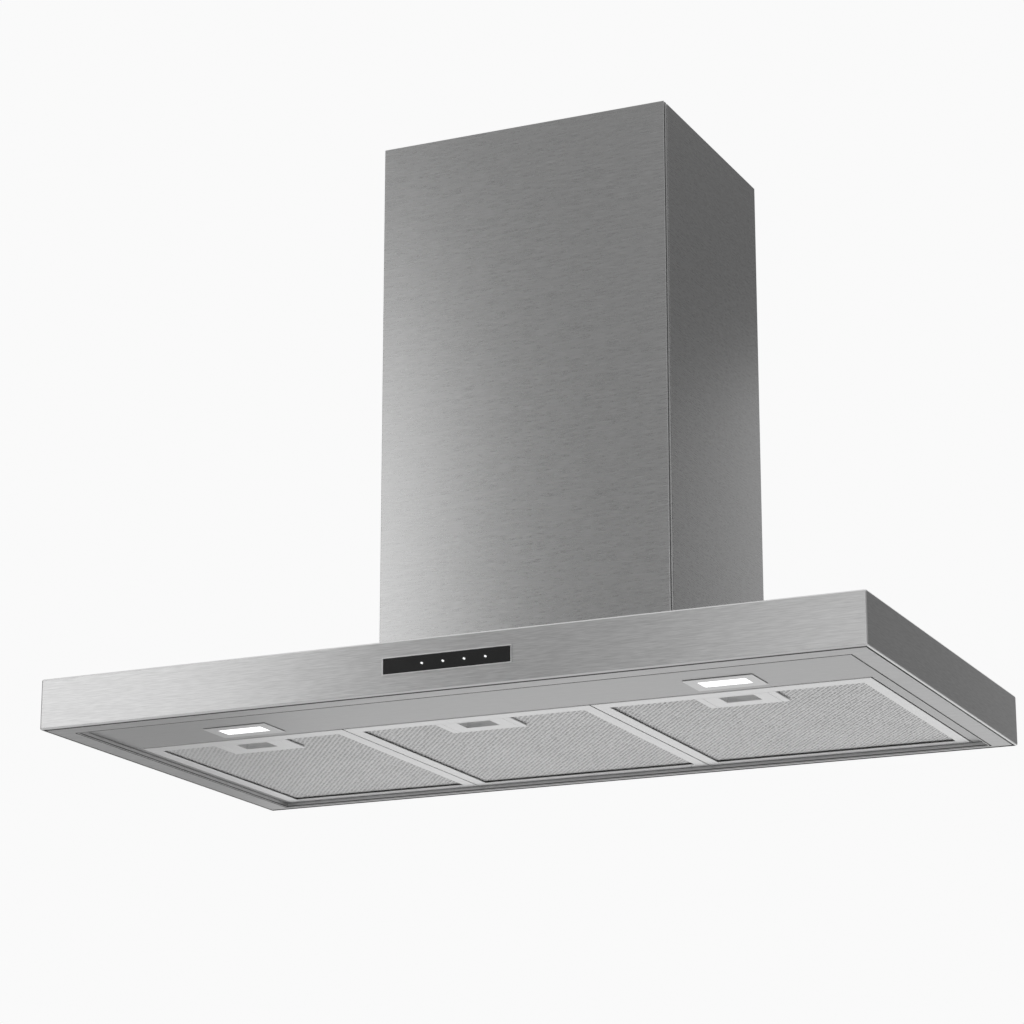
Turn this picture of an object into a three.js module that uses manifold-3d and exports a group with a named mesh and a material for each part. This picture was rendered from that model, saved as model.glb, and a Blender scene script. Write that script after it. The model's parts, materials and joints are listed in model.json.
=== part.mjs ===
// Box-shaped cooker hood with a rear-set telescopic chimney, in millimetres.
// +Z is up and +X is to the right for someone facing the hood. The wall is the plane Y = 0 and the
// hood reaches forward to Y = -CANOPY_D. The sub-parts are drawn with Z = 0 at the canopy's bottom
// edge, and the whole hood is then lowered by half the canopy's height, so that the origin is the
// centre of the canopy's back face.

import * as THREE from 'three';
import { mergeVertices } from 'three/addons/utils/BufferGeometryUtils.js';
import Module from 'manifold-3d';

const wasm = await Module();
wasm.setup();

// ---------------------------------------------------------------- driving dimensions

const GAP = 0.3; // running gap between neighbouring pieces
const SHEET = 1.2; // stainless sheet
const THIN = 1; // thin inner sheet
const CUT = 2; // how far a cutter runs past the face it opens

const CANOPY_W = 900;
const CANOPY_D = 500;
const CANOPY_H = 54;
const LIP_FRONT = 31;
const LIP_SIDE = 28;
const LIP_BACK = 15;
const RECESS = 5; // ceiling panel above the lips
const LIP_H = 2 * SHEET; // the lips are folded double
const HEM = { inset: 1, alongX: 2.6, alongY: 2, depth: 1.2 }; // groove round the lips' inner edge
const DRIP = { inset: 2.4, alongX: 4.8, alongY: 2, depth: 1.4 }; // groove round the outer edge
const AIR_HOLE = { halfW: 132, y: [-245, -18] }; // in the canopy's top, below the motor housing

const CHIMNEY_W = 336;
const CHIMNEY_D = 281;
const CHIMNEY_TOP = 680;
const CORNER_GROOVE = 2.5; // shadow gap behind the edge of the chimney's front sheet
const CORNER_STRIP = 4.6; // the front sheet's folded strip behind that gap
const CORNER_SEAM = 1.8; // between the strip and the side sheet
const CORNER_DEPTH = 3; // of the gap and the seam
const UPPER_BOTTOM = 376;

const FILTER_EDGES = [-414, -173, 107.5, 404]; // outer edges, and the middle of each gap
const FILTER_GAP = 1.6;
const FILTER_CLEAR = 1.2; // between the filters and the ceiling panel
const FILTER_REAR_Y = -18;
const FILTER_D = 335;
const FILTER_H = 9;
const FILTER_BOTTOM = RECESS - 0.6;
const MARGIN_SIDE = 13;
const MARGIN_FRONT = 18;
const MARGIN_REAR = 12;

const HANDLE_W = 84.6;
const HANDLE_D = 46.3;
const POCKET_W = 37;
const POCKET_D = 25.5;
const POCKET_START = 21.5; // from the filter's front edge
const LATCH_REACH = 5; // how far the bolt passes over the ceiling panel

const RAIL_HALF_W = 10;
const RAIL_H = 12;

const LAMP_X = 268;
const LAMP_Y = -392;
const LAMP_W = 73;
const LAMP_D = 47;
const LENS_W = 50;
const LENS_D = 23;

const CONTROL_X = 18;
const CONTROL_Z = 28.3;
const GLASS_W = 138;
const GLASS_H = 15.4;
const DOT_OFFSET = 7.5;
const DOT_PITCH = 23;
const DOT_COUNT = 4;
const CONTROL_NECK = 0.9; // frame outside the glass, in the canopy's cut-out
const CONTROL_FLANGE = 1.6; // frame outside the glass, on the canopy's face

const HOUSING_W = 300;
const HOUSING_FRONT = -262;
const HOUSING_BACK = -3;
const HOUSING_TOP = 330;

const BLOWER_Y = -140;
const BLOWER_Z = 182;
const WHEEL_R = 75;
const WHEEL_HALF = 46;
const SCROLL_HALF = 56;

const COLLAR_Y = -165;
const COLLAR_R = 75;
const COLLAR_TOP = 378;
const PIN_Z = 352;

// ---------------------------------------------------------------- geometry helpers

function solid(geometry, matrix = new THREE.Matrix4()) {
  const bare = geometry.clone();
  bare.deleteAttribute('normal');
  bare.deleteAttribute('uv');
  bare.applyMatrix4(matrix);
  const merged = mergeVertices(bare, 1e-4);
  return new wasm.Manifold(new wasm.Mesh({
    numProp: 3,
    vertProperties: new Float32Array(merged.attributes.position.array),
    triVerts: new Uint32Array(merged.index.array),
  }));
}

function box(x, y, z) {
  const geometry = new THREE.BoxGeometry(x[1] - x[0], y[1] - y[0], z[1] - z[0]);
  geometry.translate((x[0] + x[1]) / 2, (y[0] + y[1]) / 2, (z[0] + z[1]) / 2);
  return solid(geometry);
}

function around(centre, half) {
  return [centre - half, centre + half];
}

// A round bar between two places on an axis. The axis is 'x', 'y' or 'z'.
function rod(axis, centre, radius, span, sides = 32) {
  const geometry = new THREE.CylinderGeometry(radius, radius, span[1] - span[0], sides);
  geometry.translate(0, (span[0] + span[1]) / 2, 0);
  const turn = new THREE.Matrix4();
  if (axis === 'x') turn.makeRotationZ(-Math.PI / 2);
  if (axis === 'z') turn.makeRotationX(Math.PI / 2);
  geometry.applyMatrix4(turn);
  geometry.translate(centre[0], centre[1], centre[2]);
  return solid(geometry);
}

// A ring turned about the X or Z axis from a closed [radius, height] profile.
function turned(axis, centre, profile, sides = 36) {
  const loop = profile.map(([r, h]) => new THREE.Vector2(r, h));
  const geometry = new THREE.LatheGeometry([...loop, loop[0].clone()], sides);
  const turn = new THREE.Matrix4();
  if (axis === 'x') turn.makeRotationZ(-Math.PI / 2);
  if (axis === 'z') turn.makeRotationX(Math.PI / 2);
  geometry.applyMatrix4(turn);
  geometry.translate(centre[0], centre[1], centre[2]);
  return solid(geometry);
}

// A flat outline in the Y-Z plane, thickened along X.
function slabAlongX(points, x) {
  const shape = new THREE.Shape(points.map(([y, z]) => new THREE.Vector2(y, z)));
  const geometry = new THREE.ExtrudeGeometry(shape, { depth: x[1] - x[0], bevelEnabled: false });
  const basis = new THREE.Matrix4().makeBasis(
    new THREE.Vector3(0, 1, 0),
    new THREE.Vector3(0, 0, 1),
    new THREE.Vector3(1, 0, 0),
  );
  geometry.applyMatrix4(basis);
  geometry.translate(x[0], 0, 0);
  return solid(geometry);
}

// A flat outline in the X-Y plane, thickened along Z.
function slabAlongZ(points, z) {
  const shape = new THREE.Shape(points.map(([x, y]) => new THREE.Vector2(x, y)));
  const geometry = new THREE.ExtrudeGeometry(shape, { depth: z[1] - z[0], bevelEnabled: false });
  geometry.translate(0, 0, z[0]);
  return solid(geometry);
}

function join(parts) {
  return parts.reduce((whole, part) => whole.add(part));
}

function finish(color, roughness, metalness) {
  return { color, roughness, metalness };
}

const STEEL = finish(0xbfc0c1, 0.34, 1);
const INNER_STEEL = finish(0xb3b5b7, 0.5, 1);
const FILTER_METAL = finish(0xd6d7d8, 0.4, 1);
const MESH_METAL = finish(0xb4b5b6, 0.5, 1);
const BLACK_GLASS = finish(0x161718, 0.08, 0);
const WHITE_LENS = finish(0xffffff, 0.3, 0);
const GREY_PLASTIC = finish(0x8c8f92, 0.6, 0);
const BLACK_PLASTIC = finish(0x24262a, 0.6, 0);
const BOARD_GREEN = finish(0x2c5a3c, 0.6, 0);
const ZINC = finish(0x9fa3a6, 0.45, 1);

function piece(name, body, look) {
  const data = body.getMesh();
  const geometry = new THREE.BufferGeometry();
  geometry.setAttribute('position', new THREE.BufferAttribute(new Float32Array(data.vertProperties), 3));
  geometry.setIndex(new THREE.BufferAttribute(new Uint32Array(data.triVerts), 1));
  geometry.computeVertexNormals();
  const mesh = new THREE.Mesh(geometry, new THREE.MeshStandardMaterial(look));
  mesh.name = name;
  return mesh;
}

function sideName(side) {
  return side < 0 ? 'left' : 'right';
}

// The stretch of a mirrored piece: side -1 flips it across X = 0.
function mirrored(side, low, high) {
  return side < 0 ? [-high, -low] : [low, high];
}

// ---------------------------------------------------------------- canopy

const HALF_W = CANOPY_W / 2;

function grown({ x, y }, byX, byY) {
  return { x: [x[0] - byX, x[1] + byX], y: [y[0] - byY, y[1] + byY] };
}

// A groove in the canopy's lower face, outside the given rectangle. Its stretches that run along
// X and along Y have their own widths.
function groove(rectangle, { alongX, alongY, depth }) {
  const far = grown(rectangle, alongY, alongX);
  const z = [-CUT, depth];
  return box(far.x, far.y, z).subtract(box(rectangle.x, rectangle.y, z));
}

function canopyShell() {
  const opening = {
    x: around(0, HALF_W - LIP_SIDE),
    y: [-CANOPY_D + LIP_FRONT, -LIP_BACK],
  };
  const outer = box(around(0, HALF_W), [-CANOPY_D, 0], [0, CANOPY_H]);
  const inside = box(
    around(0, HALF_W - SHEET),
    [-CANOPY_D + SHEET, -SHEET],
    [LIP_H, CANOPY_H - SHEET],
  );
  const upstand = box(
    around(0, HALF_W - LIP_SIDE + SHEET),
    [opening.y[0] - SHEET, opening.y[1] + SHEET],
    [0, RECESS - GAP],
  );
  const bottomCut = box(opening.x, opening.y, [-CUT, RECESS + CUT]);
  const airCut = box(around(0, AIR_HOLE.halfW), AIR_HOLE.y, [CANOPY_H - SHEET - CUT, CANOPY_H + CUT]);
  const controlCut = box(
    around(CONTROL_X, GLASS_W / 2 + CONTROL_NECK + GAP),
    [-CANOPY_D - CUT, -CANOPY_D + SHEET + CUT],
    around(CONTROL_Z, GLASS_H / 2 + CONTROL_NECK + GAP),
  );
  const edge = { x: around(0, HALF_W), y: [-CANOPY_D, 0] };
  const dripInner = grown(edge, -DRIP.inset - DRIP.alongY, -DRIP.inset - DRIP.alongX);
  const cuts = [
    bottomCut,
    airCut,
    controlCut,
    groove(grown(opening, HEM.inset, HEM.inset), HEM),
    groove(dripInner, DRIP),
  ];
  return cuts.reduce((shell, cut) => shell.subtract(cut), outer.subtract(inside).add(upstand));
}

function ceilingPanel() {
  const z = [RECESS, RECESS + THIN];
  const clear = SHEET + GAP;
  const plate = box(around(0, HALF_W - clear), [-CANOPY_D + clear, -clear], z);
  const filterCut = box(
    [FILTER_EDGES[0] - FILTER_CLEAR, FILTER_EDGES.at(-1) + FILTER_CLEAR],
    [FILTER_REAR_Y - FILTER_D - FILTER_CLEAR, FILTER_REAR_Y + FILTER_CLEAR],
    [z[0] - CUT, z[1] + CUT],
  );
  const lampCuts = [-1, 1].map((side) => box(
    around(side * LAMP_X, LAMP_W / 2 - 2),
    around(LAMP_Y, LAMP_D / 2 - 2),
    [z[0] - CUT, z[1] + CUT],
  ));
  return lampCuts.reduce((panel, cut) => panel.subtract(cut), plate.subtract(filterCut));
}

// A U-shaped channel above each gap between two filters.
function filterRail(centre) {
  const y = [-CANOPY_D + LIP_FRONT - SHEET, -SHEET - GAP];
  const bottom = FILTER_BOTTOM + FILTER_H + 1;
  const bar = box(around(centre, RAIL_HALF_W), y, [bottom, bottom + RAIL_H]);
  const groove = box(
    around(centre, RAIL_HALF_W - SHEET),
    [y[0] - CUT, y[1] + CUT],
    [bottom + SHEET, bottom + RAIL_H + CUT],
  );
  return bar.subtract(groove);
}

function canopy() {
  const group = new THREE.Group();
  group.add(piece('canopy_shell', canopyShell(), STEEL));
  group.add(piece('ceiling_panel', ceilingPanel(), STEEL));
  group.add(piece('filter_rail_left', filterRail(FILTER_EDGES[1]), INNER_STEEL));
  group.add(piece('filter_rail_right', filterRail(FILTER_EDGES[2]), INNER_STEEL));
  return group;
}

// ---------------------------------------------------------------- control strip

const DOT_R = 0.9;
const DOT_HOLE_R = 1.7;

function dotX(index) {
  return CONTROL_X + DOT_OFFSET + (index - (DOT_COUNT - 1) / 2) * DOT_PITCH;
}

function controlFrame() {
  const flange = box(
    around(CONTROL_X, GLASS_W / 2 + CONTROL_FLANGE),
    [-CANOPY_D - 0.9, -CANOPY_D - GAP],
    around(CONTROL_Z, GLASS_H / 2 + CONTROL_FLANGE),
  );
  const neck = box(
    around(CONTROL_X, GLASS_W / 2 + CONTROL_NECK),
    [-CANOPY_D - GAP, -CANOPY_D + 3],
    around(CONTROL_Z, GLASS_H / 2 + CONTROL_NECK),
  );
  const window = box(
    around(CONTROL_X, GLASS_W / 2 + GAP),
    [-CANOPY_D - CUT, -CANOPY_D + 3 + CUT],
    around(CONTROL_Z, GLASS_H / 2 + GAP),
  );
  return flange.add(neck).subtract(window);
}

function controlGlass() {
  const y = [-CANOPY_D - 0.6, -CANOPY_D + 2.4];
  const plate = box(around(CONTROL_X, GLASS_W / 2), y, around(CONTROL_Z, GLASS_H / 2));
  let drilled = plate;
  for (let i = 0; i < DOT_COUNT; i += 1) {
    const centre = [dotX(i), 0, CONTROL_Z];
    drilled = drilled.subtract(rod('y', centre, DOT_HOLE_R, [y[0] - CUT, y[1] + CUT], 20));
  }
  return drilled;
}

function controlHousing() {
  const y = [-CANOPY_D + SHEET + GAP, -CANOPY_D + 15];
  const tray = box(around(CONTROL_X, GLASS_W / 2 + 6), y, around(CONTROL_Z, GLASS_H / 2 + 5));
  const hollow = box(
    around(CONTROL_X, GLASS_W / 2 + 4),
    [y[0] - CUT, y[1] - 2],
    around(CONTROL_Z, GLASS_H / 2 + 3),
  );
  return tray.subtract(hollow);
}

function controlBoard() {
  return box(
    around(CONTROL_X, GLASS_W / 2 - 1),
    [-CANOPY_D + 8, -CANOPY_D + 9.6],
    around(CONTROL_Z, GLASS_H / 2),
  );
}

function controls() {
  const group = new THREE.Group();
  group.add(piece('control_frame', controlFrame(), FILTER_METAL));
  group.add(piece('control_glass', controlGlass(), BLACK_GLASS));
  group.add(piece('control_housing', controlHousing(), BLACK_PLASTIC));
  group.add(piece('control_board', controlBoard(), BOARD_GREEN));
  for (let i = 0; i < DOT_COUNT; i += 1) {
    const guide = rod('y', [dotX(i), 0, CONTROL_Z], DOT_R, [-CANOPY_D - 0.8, -CANOPY_D + 7.7], 20);
    group.add(piece(`indicator_${i + 1}`, guide, WHITE_LENS));
  }
  return group;
}

// ---------------------------------------------------------------- lamps

function lampBezel(x) {
  const z = [RECESS - 1, RECESS + 12];
  const flange = box(around(x, LAMP_W / 2), around(LAMP_Y, LAMP_D / 2), [z[0], RECESS - GAP]);
  const body = box(around(x, LAMP_W / 2 - 2.5), around(LAMP_Y, LAMP_D / 2 - 2.5), [RECESS - GAP, z[1]]);
  const window = box(around(x, LENS_W / 2), around(LAMP_Y, LENS_D / 2), [z[0] - CUT, z[1]]);
  const chamber = box(around(x, LAMP_W / 2 - 4), around(LAMP_Y, LAMP_D / 2 - 4), [z[0] + 3, z[1] + CUT]);
  return flange.add(body).subtract(window).subtract(chamber);
}

function lampLens(x) {
  const bottom = RECESS - 0.2;
  const step = RECESS + 2 + GAP;
  const face = box(around(x, LENS_W / 2 - GAP), around(LAMP_Y, LENS_D / 2 - GAP), [bottom, step + 1]);
  const seat = box(around(x, LENS_W / 2 + 4), around(LAMP_Y, LENS_D / 2 + 4), [step, step + 1.5]);
  return face.add(seat);
}

const HEAT_SINK = { halfW: 28, halfD: 15, z: [RECESS + 5, RECESS + 14], base: 3 };
const FIN_PITCH = 9;
const FIN_SLOT = 5;

// The lamp's board with its finned heat sink, one moulded block with slots between the fins.
function lampModule(x) {
  const { halfW, halfD, z, base } = HEAT_SINK;
  const block = box(around(x, halfW), around(LAMP_Y, halfD), z);
  const slots = [-2, -1, 0, 1, 2].map((i) => box(
    around(x + i * FIN_PITCH, FIN_SLOT / 2),
    around(LAMP_Y, halfD + CUT),
    [z[0] + base, z[1] + CUT],
  ));
  return slots.reduce((body, slot) => body.subtract(slot), block);
}

function lamps() {
  const group = new THREE.Group();
  for (const side of [-1, 1]) {
    const x = side * LAMP_X;
    const where = sideName(side);
    group.add(piece(`lamp_bezel_${where}`, lampBezel(x), FILTER_METAL));
    group.add(piece(`lamp_lens_${where}`, lampLens(x), WHITE_LENS));
    group.add(piece(`lamp_module_${where}`, lampModule(x), ZINC));
  }
  return group;
}

// ---------------------------------------------------------------- grease filters
// Each filter is drawn with X = 0 at its middle, Y = 0 at its front edge and Z = 0 at its lower face.

const FILTERS = FILTER_EDGES.slice(1).map((edge, i) => {
  const left = FILTER_EDGES[i] + (i > 0 ? FILTER_GAP / 2 : 0);
  const right = edge - (i < FILTER_EDGES.length - 2 ? FILTER_GAP / 2 : 0);
  return { middle: (left + right) / 2, width: right - left };
});
const LUG_LENGTH = 8;
const LUG_HALF_W = 9;
const LUG_Z = [2, 3.2];
const LUG_FROM_EDGE = 40;
const FRAME_FLANGE = 9; // the frame's upper flange
const BOLT_HALF_W = 12;
const BOLT_CLEAR = 0.6;
const BOLT_Z = [2.8, 4.8];
const BOLT_SLOT_Z = [BOLT_Z[0] - GAP, BOLT_Z[1] + GAP];

function filterFrame(width) {
  const half = width / 2;
  const outer = box(around(0, half), [0, FILTER_D], [0, FILTER_H]);
  const channel = box(around(0, half - THIN), [THIN, FILTER_D - THIN], [THIN, FILTER_H - THIN]);
  const lowerCut = box(
    around(0, half - MARGIN_SIDE),
    [MARGIN_FRONT, FILTER_D - MARGIN_REAR],
    [-CUT, THIN + CUT],
  );
  const upperCut = box(
    around(0, half - FRAME_FLANGE),
    [FRAME_FLANGE, FILTER_D - FRAME_FLANGE],
    [FILTER_H - THIN - CUT, FILTER_H + CUT],
  );
  const boltCut = box(around(0, BOLT_HALF_W + BOLT_CLEAR), [-CUT, THIN + CUT], BOLT_SLOT_Z);
  const lugs = [-1, 1].map((side) => box(
    around(side * (half - LUG_FROM_EDGE), LUG_HALF_W),
    [FILTER_D - THIN, FILTER_D + LUG_LENGTH],
    LUG_Z,
  ));
  const ring = outer.subtract(channel).subtract(lowerCut).subtract(upperCut).subtract(boltCut);
  return join([ring, ...lugs]);
}

const MESH_H = 2.4;

// The expanded-metal layers as one sheet, notched for the handle.
function filterMesh(width) {
  const edge = THIN + GAP;
  const z = [edge, edge + MESH_H];
  const sheet = box(around(0, width / 2 - edge), [edge, FILTER_D - edge], z);
  const notch = box(
    around(0, HANDLE_W / 2 + GAP),
    [-CUT, MARGIN_FRONT + GAP + HANDLE_D + GAP],
    [z[0] - CUT, z[1] + CUT],
  );
  return sheet.subtract(notch);
}

const POCKET_WALL = 1.2;
const POCKET_TOP = 8.2;
const PLATE_H = 1.5;
const RIB_H = 2.5;
const GROOVE = { x: 34.5, halfW: 0.35, depth: 0.6 }; // fine lines either side of the pocket

function filterHandle() {
  const front = MARGIN_FRONT + GAP;
  const pocketY = [POCKET_START, POCKET_START + POCKET_D];
  const plate = box(around(0, HANDLE_W / 2), [front, front + HANDLE_D], [0, PLATE_H]);
  const rib = box(around(0, HANDLE_W / 2), [front, front + PLATE_H], [0, RIB_H]);
  const tongue = box(around(0, HANDLE_W / 2 - 2), [THIN + 1, front + 1], [THIN + GAP, RIB_H]);
  const cup = box(
    around(0, POCKET_W / 2 + POCKET_WALL),
    [pocketY[0] - POCKET_WALL, pocketY[1] + POCKET_WALL],
    [0, POCKET_TOP],
  );
  const pocket = box(around(0, POCKET_W / 2), pocketY, [-CUT, POCKET_TOP - POCKET_WALL]);
  const boltCut = box(around(0, BOLT_HALF_W + BOLT_CLEAR), [-CUT, pocketY[0] + CUT], BOLT_SLOT_Z);
  const grooves = [-1, 1].map((side) => box(
    around(side * GROOVE.x, GROOVE.halfW),
    [front + 2, front + HANDLE_D + CUT],
    [-CUT, GROOVE.depth],
  ));
  const body = join([plate, rib, tongue, cup]).subtract(pocket).subtract(boltCut);
  return grooves.reduce((rest, groove) => rest.subtract(groove), body);
}

function filterLatch() {
  const tabY = [POCKET_START + 0.8, POCKET_START + 3.8];
  const bolt = box(around(0, BOLT_HALF_W), [-LATCH_REACH, tabY[1]], BOLT_Z);
  const tab = box(around(0, POCKET_W / 2 - 1.2), tabY, [0.8, POCKET_TOP - POCKET_WALL - GAP]);
  return bolt.add(tab);
}

function filters() {
  const group = new THREE.Group();
  FILTERS.forEach(({ middle, width }, i) => {
    const filter = new THREE.Group();
    const name = `filter_${i + 1}`;
    filter.add(piece(`${name}_frame`, filterFrame(width), FILTER_METAL));
    filter.add(piece(`${name}_mesh`, filterMesh(width), MESH_METAL));
    filter.add(piece(`${name}_handle`, filterHandle(), FILTER_METAL));
    filter.add(piece(`${name}_latch`, filterLatch(), ZINC));
    filter.position.set(middle, FILTER_REAR_Y - FILTER_D, FILTER_BOTTOM);
    group.add(filter);
  });
  return group;
}

// ---------------------------------------------------------------- motor housing and duct collar

const HOOK_X = 90;
const HOOK_Z = 288;
const HOOK_HALF_W = 12;
const HOOK_H = 2.4;
const HOOK_REACH = 12;
const COVER_SCREW = { x: 143, z: 200, r: 2, headR: 4, headH: 2.2 };
const HOUSING_RIM = 12; // around the housing's open front and open floor
const HOLE_R = 3; // for the wall screws

function motorHousing() {
  const y = [HOUSING_FRONT, HOUSING_BACK];
  const z = [CANOPY_H + GAP, HOUSING_TOP];
  const half = HOUSING_W / 2;
  const rim = HOUSING_RIM;
  let body = box(around(0, half), y, z);
  const cuts = [
    box(around(0, half - SHEET), [y[0] + SHEET, y[1] - SHEET], [z[0] + SHEET, z[1] - SHEET]),
    box(around(0, half - rim), [y[0] - CUT, y[0] + SHEET + CUT], [z[0] + rim, z[1] - rim]),
    box(around(0, half - rim), [y[0] + rim, y[1] - rim], [z[0] - CUT, z[0] + SHEET + CUT]),
    rod('z', [0, COLLAR_Y, 0], COLLAR_R - 3, [z[1] - SHEET - CUT, z[1] + CUT], 48),
  ];
  for (const side of [-1, 1]) {
    cuts.push(box(
      around(side * HOOK_X, HOOK_HALF_W + 1),
      [y[1] - SHEET - CUT, y[1] + CUT],
      [HOOK_Z - 10, HOOK_Z + HOOK_H + GAP],
    ));
    cuts.push(rod(
      'y',
      [side * COVER_SCREW.x, 0, COVER_SCREW.z],
      COVER_SCREW.r + GAP,
      [y[0] - CUT, y[0] + SHEET + CUT],
      16,
    ));
  }
  for (const cut of cuts) body = body.subtract(cut);
  return body;
}

function housingCover() {
  const y = [HOUSING_FRONT - GAP - SHEET, HOUSING_FRONT - GAP];
  const plate = box(around(0, HOUSING_W / 2), y, [CANOPY_H + GAP, HOUSING_TOP]);
  const holes = [-1, 1].map((side) => rod(
    'y',
    [side * COVER_SCREW.x, 0, COVER_SCREW.z],
    COVER_SCREW.r + GAP,
    [y[0] - CUT, y[1] + CUT],
    16,
  ));
  return holes.reduce((rest, hole) => rest.subtract(hole), plate);
}

function coverScrew(side) {
  const centre = [side * COVER_SCREW.x, 0, COVER_SCREW.z];
  const face = HOUSING_FRONT - GAP - SHEET - GAP;
  const headFace = face - COVER_SCREW.headH;
  const head = rod('y', centre, COVER_SCREW.headR, [headFace, face], 16);
  const shank = rod('y', centre, COVER_SCREW.r, [face - 1, face + 9], 16);
  const slot = box(around(centre[0], 3), [headFace - CUT, headFace + 1], around(centre[2], 0.5));
  return head.add(shank).subtract(slot);
}

function wallHook(side) {
  const x = side * HOOK_X;
  const base = box(around(x, 20), [-HOOK_H, 0], [HOOK_Z - 18, HOOK_Z + 24]);
  const tongue = box(around(x, HOOK_HALF_W), [-HOOK_REACH, -2], [HOOK_Z, HOOK_Z + HOOK_H]);
  const lip = box(around(x, HOOK_HALF_W), [-HOOK_REACH, 2 - HOOK_REACH], [HOOK_Z, HOOK_Z + 12]);
  const hole = rod('y', [x, 0, HOOK_Z - 9], HOLE_R, [-HOOK_H - CUT, CUT], 24);
  return join([base, tongue, lip]).subtract(hole);
}

const FLANGE_R = 84;
const FLANGE_H = 1.5;

// A round flange with a tube rising from it, and a rib inside that stops the flaps.
function ductCollar() {
  const z = HOUSING_TOP + GAP;
  const inner = COLLAR_R - 2;
  return turned('z', [0, COLLAR_Y, 0], [
    [inner, z],
    [FLANGE_R, z],
    [FLANGE_R, z + FLANGE_H],
    [COLLAR_R, z + FLANGE_H],
    [COLLAR_R, COLLAR_TOP],
    [inner, COLLAR_TOP],
    [inner, PIN_Z - 5],
    [inner - 3, PIN_Z - 5],
    [inner - 3, PIN_Z - 8],
    [inner, PIN_Z - 8],
  ]);
}

// Two half-round flaps on one pin. Each has its own barrels, and a notch for the other's.
const BARRELS = { front: [[-66, -46], [-20, 20], [46, 66]], back: [[-44, -22], [22, 44]] };
const PIN_R = 1.5;
const BARREL_R = 3.4;
const FLAP_R = COLLAR_R - 3.5;
const FLAP_H = 1.3;
const FLAP_SPLIT = 0.5; // half the slit between the flaps

function backdraftFlap(which) {
  const toFront = which === 'front' ? -1 : 1;
  const bottom = PIN_Z - BARREL_R - 0.4;
  const z = [bottom, bottom + FLAP_H];
  const disc = rod('z', [0, COLLAR_Y, 0], FLAP_R, z, 36);
  const middle = COLLAR_Y + toFront * (FLAP_SPLIT + COLLAR_R / 2);
  const mine = box(around(0, COLLAR_R), around(middle, COLLAR_R / 2), [z[0] - CUT, z[1] + CUT]);
  const half = disc.intersect(mine);
  const other = which === 'front' ? 'back' : 'front';
  const notches = BARRELS[other].map((x) => box(
    [x[0] - 0.6, x[1] + 0.6],
    around(COLLAR_Y, BARREL_R + 0.8),
    [z[0] - CUT, z[1] + CUT],
  ));
  const plate = notches.reduce((rest, notch) => rest.subtract(notch), half);
  const centre = [0, COLLAR_Y, PIN_Z];
  const barrels = BARRELS[which].map((x) => rod('x', centre, BARREL_R, x, 20));
  const bore = rod('x', centre, PIN_R + GAP, around(0, COLLAR_R), 20);
  return join([plate, ...barrels]).subtract(bore);
}

function housing() {
  const group = new THREE.Group();
  group.add(piece('motor_housing', motorHousing(), INNER_STEEL));
  group.add(piece('housing_cover', housingCover(), INNER_STEEL));
  for (const side of [-1, 1]) {
    group.add(piece(`cover_screw_${sideName(side)}`, coverScrew(side), ZINC));
    group.add(piece(`wall_hook_${sideName(side)}`, wallHook(side), ZINC));
  }
  group.add(piece('duct_collar', ductCollar(), BLACK_PLASTIC));
  group.add(piece('flap_pin', rod('x', [0, COLLAR_Y, PIN_Z], PIN_R, around(0, COLLAR_R - 2.5), 20), ZINC));
  group.add(piece('flap_front', backdraftFlap('front'), BLACK_PLASTIC));
  group.add(piece('flap_back', backdraftFlap('back'), BLACK_PLASTIC));
  return group;
}

// ---------------------------------------------------------------- blower

const SCROLL_START = 75; // degrees, where the casing comes closest to the wheel
const SCROLL_SWEEP = 255;
const SCROLL_STEPS = 34;
const SCROLL_R = [86, 114];
const SCROLL_TOP = 136;
const SCROLL_WALL = 2;
const SCROLL_CHEEK = 2.5;
const INLET_R = 64;
const BLADES = 20;
const BLADE = { thickness: 1.4, depth: 9, turn: 30 };
const SHROUD = 8; // the wheel's end rings, in and along
const SHAFT_R = 4;
const SHAFT_X = [-16, 26];
const BORE_R = SHAFT_R + GAP;
const MOTOR_R = 43;
const CAPACITOR = { x: 118, y: -60, r: 16, z: [70, 128] };

// The casing's outline seen along X: a growing spiral with a straight outlet rising from it.
function scrollOutline(inset, top) {
  const points = [];
  for (let i = 0; i <= SCROLL_STEPS; i += 1) {
    const share = i / SCROLL_STEPS;
    const angle = THREE.MathUtils.degToRad(SCROLL_START - SCROLL_SWEEP * share);
    const radius = THREE.MathUtils.lerp(SCROLL_R[0], SCROLL_R[1], share) - inset;
    points.push([BLOWER_Y + radius * Math.cos(angle), BLOWER_Z + radius * Math.sin(angle)]);
  }
  points.push([points.at(-1)[0], BLOWER_Z + top]);
  points.push([points[0][0] - inset, BLOWER_Z + top]);
  return points.reverse();
}

function scrollHalf(side) {
  const whole = mirrored(side, GAP / 2, SCROLL_HALF);
  const hollow = mirrored(side, GAP / 2 - CUT, SCROLL_HALF - SCROLL_CHEEK);
  const outer = slabAlongX(scrollOutline(0, SCROLL_TOP), whole);
  const inner = slabAlongX(scrollOutline(SCROLL_WALL, SCROLL_TOP + CUT), hollow);
  const throughWall = mirrored(side, SCROLL_HALF - 4, SCROLL_HALF + CUT);
  const inlet = rod('x', [0, BLOWER_Y, BLOWER_Z], INLET_R, throughWall, 36);
  return outer.subtract(inner).subtract(inlet);
}

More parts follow.
